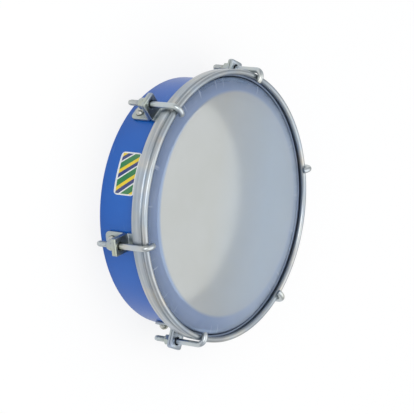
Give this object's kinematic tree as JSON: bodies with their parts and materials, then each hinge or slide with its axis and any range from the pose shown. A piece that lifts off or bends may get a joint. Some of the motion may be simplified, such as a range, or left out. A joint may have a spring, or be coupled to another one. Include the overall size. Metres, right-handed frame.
{
  "type": "frame drum",
  "caption": "Small round frame drum: thick plastic shell, film head and a steel tension hoop pulled down by bent hooks and nuts at folded brackets.",
  "frame": {"origin": "centre of the open rear rim, on the plane that the drum lies on", "axes": "+Z along the drum's axis towards the head, +X through the middle of the first lug"},
  "size_m": [0.1816, 0.1664, 0.0439],
  "materials": {
    "shell_plastic": "satin moulded blue plastic",
    "head_film": "milky translucent film",
    "hoop_steel": "zinc plated, satin",
    "fitting_steel": "zinc plated, duller",
    "rivet_alloy": "plain, slightly worn"
  },
  "bodies": {
    "shell_body": {"shell": "shell_plastic", "bracket_1": "fitting_steel", "bracket_2": "fitting_steel", "bracket_3": "fitting_steel", "bracket_4": "fitting_steel", "bracket_5": "fitting_steel", "bracket_6": "fitting_steel", "rivet_1": "rivet_alloy", "rivet_2": "rivet_alloy", "rivet_3": "rivet_alloy", "rivet_4": "rivet_alloy", "rivet_5": "rivet_alloy", "rivet_6": "rivet_alloy", "washer_1": "fitting_steel", "washer_2": "fitting_steel", "washer_3": "fitting_steel", "washer_4": "fitting_steel", "washer_5": "fitting_steel", "washer_6": "fitting_steel"},
    "rim": {"tension_hoop": "hoop_steel", "flesh_hoop": "fitting_steel", "head_film": "head_film"},
    "hook_1": {"hook_1": "hoop_steel"},
    "hook_2": {"hook_2": "hoop_steel"},
    "hook_3": {"hook_3": "hoop_steel"},
    "hook_4": {"hook_4": "hoop_steel"},
    "hook_5": {"hook_5": "hoop_steel"},
    "hook_6": {"hook_6": "hoop_steel"},
    "nut_1": {"nut_1": "fitting_steel"},
    "nut_2": {"nut_2": "fitting_steel"},
    "nut_3": {"nut_3": "fitting_steel"},
    "nut_4": {"nut_4": "fitting_steel"},
    "nut_5": {"nut_5": "fitting_steel"},
    "nut_6": {"nut_6": "fitting_steel"}
  },
  "joints": [
    {"name": "rim_lift", "type": "slide", "parent": "shell_body", "child": "rim", "axis": [0, 0, 1], "range_m": [0, 0.0035]},
    {"name": "hook_1_slide", "type": "slide", "parent": "shell_body", "child": "hook_1", "axis": [0, 0, 1], "range_m": [0, 0.0035]},
    {"name": "hook_2_slide", "type": "slide", "parent": "shell_body", "child": "hook_2", "axis": [0, 0, 1], "range_m": [0, 0.0035]},
    {"name": "hook_3_slide", "type": "slide", "parent": "shell_body", "child": "hook_3", "axis": [0, 0, 1], "range_m": [0, 0.0035]},
    {"name": "hook_4_slide", "type": "slide", "parent": "shell_body", "child": "hook_4", "axis": [0, 0, 1], "range_m": [0, 0.0035]},
    {"name": "hook_5_slide", "type": "slide", "parent": "shell_body", "child": "hook_5", "axis": [0, 0, 1], "range_m": [0, 0.0035]},
    {"name": "hook_6_slide", "type": "slide", "parent": "shell_body", "child": "hook_6", "axis": [0, 0, 1], "range_m": [0, 0.0035]},
    {"name": "nut_1_turn", "type": "hinge", "parent": "shell_body", "child": "nut_1", "pos_m": [0.08565, 0, 0.01625], "axis": [0, 0, -1], "range_deg": [0, 1800]},
    {"name": "nut_2_turn", "type": "hinge", "parent": "shell_body", "child": "nut_2", "pos_m": [0.04283, 0.07418, 0.01625], "axis": [0, 0, -1], "range_deg": [0, 1800]},
    {"name": "nut_3_turn", "type": "hinge", "parent": "shell_body", "child": "nut_3", "pos_m": [-0.04283, 0.07418, 0.01625], "axis": [0, 0, -1], "range_deg": [0, 1800]},
    {"name": "nut_4_turn", "type": "hinge", "parent": "shell_body", "child": "nut_4", "pos_m": [-0.08565, 0, 0.01625], "axis": [0, 0, -1], "range_deg": [0, 1800]},
    {"name": "nut_5_turn", "type": "hinge", "parent": "shell_body", "child": "nut_5", "pos_m": [-0.04283, -0.07418, 0.01625], "axis": [0, 0, -1], "range_deg": [0, 1800]},
    {"name": "nut_6_turn", "type": "hinge", "parent": "shell_body", "child": "nut_6", "pos_m": [0.04283, -0.07418, 0.01625], "axis": [0, 0, -1], "range_deg": [0, 1800]}
  ],
  "couplings": [
    {"joint": "hook_1_slide", "follows": "rim_lift", "ratio": 1},
    {"joint": "hook_2_slide", "follows": "rim_lift", "ratio": 1},
    {"joint": "hook_3_slide", "follows": "rim_lift", "ratio": 1},
    {"joint": "hook_4_slide", "follows": "rim_lift", "ratio": 1},
    {"joint": "hook_5_slide", "follows": "rim_lift", "ratio": 1},
    {"joint": "hook_6_slide", "follows": "rim_lift", "ratio": 1},
    {"joint": "nut_1_turn", "follows": "rim_lift", "rad_per_m": 8976},
    {"joint": "nut_2_turn", "follows": "rim_lift", "rad_per_m": 8976},
    {"joint": "nut_3_turn", "follows": "rim_lift", "rad_per_m": 8976},
    {"joint": "nut_4_turn", "follows": "rim_lift", "rad_per_m": 8976},
    {"joint": "nut_5_turn", "follows": "rim_lift", "rad_per_m": 8976},
    {"joint": "nut_6_turn", "follows": "rim_lift", "rad_per_m": 8976}
  ]
}
